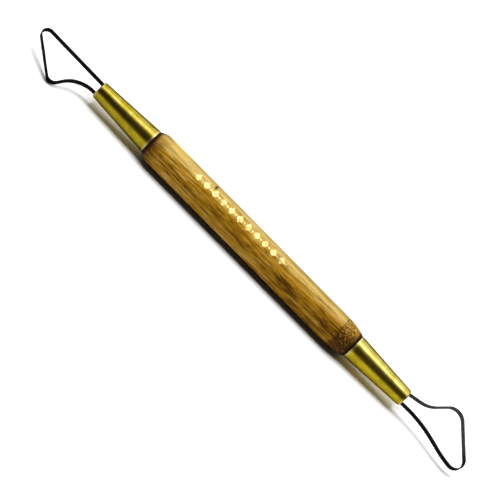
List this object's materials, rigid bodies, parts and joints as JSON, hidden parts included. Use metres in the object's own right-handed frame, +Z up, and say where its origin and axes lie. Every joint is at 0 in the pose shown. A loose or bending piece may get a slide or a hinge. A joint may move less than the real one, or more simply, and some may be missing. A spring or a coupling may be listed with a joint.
{
  "type": "pottery ribbon tool",
  "caption": "Double-ended clay trimming tool: turned wooden handle, tapered brass ferrules and bent steel ribbon loops, one pointed and one round-tipped.",
  "frame": {"origin": "on the table under the middle of the handle, on the flat facet that the handle rests on", "axes": "+X along the handle towards the round-tipped loop, +Z up from the table. The tool lies as it comes to rest, rolled about X until the pointed loop's corner touches the table on the -Y side"},
  "size_m": [0.2026, 0.0211, 0.0119],
  "materials": {
    "oiled_hardwood": "turned hardwood with a thin clear finish, long grain along the handle",
    "polished_brass": "drawn and polished, light surface marks",
    "ribbon_steel": "dark tempered spring steel strip, satin"
  },
  "bodies": {
    "root": {"handle": "oiled_hardwood", "ferrule_a": "polished_brass", "ferrule_b": "polished_brass", "ribbon_loop_a": "ribbon_steel", "ribbon_loop_b": "ribbon_steel"}
  },
  "joints": []
}
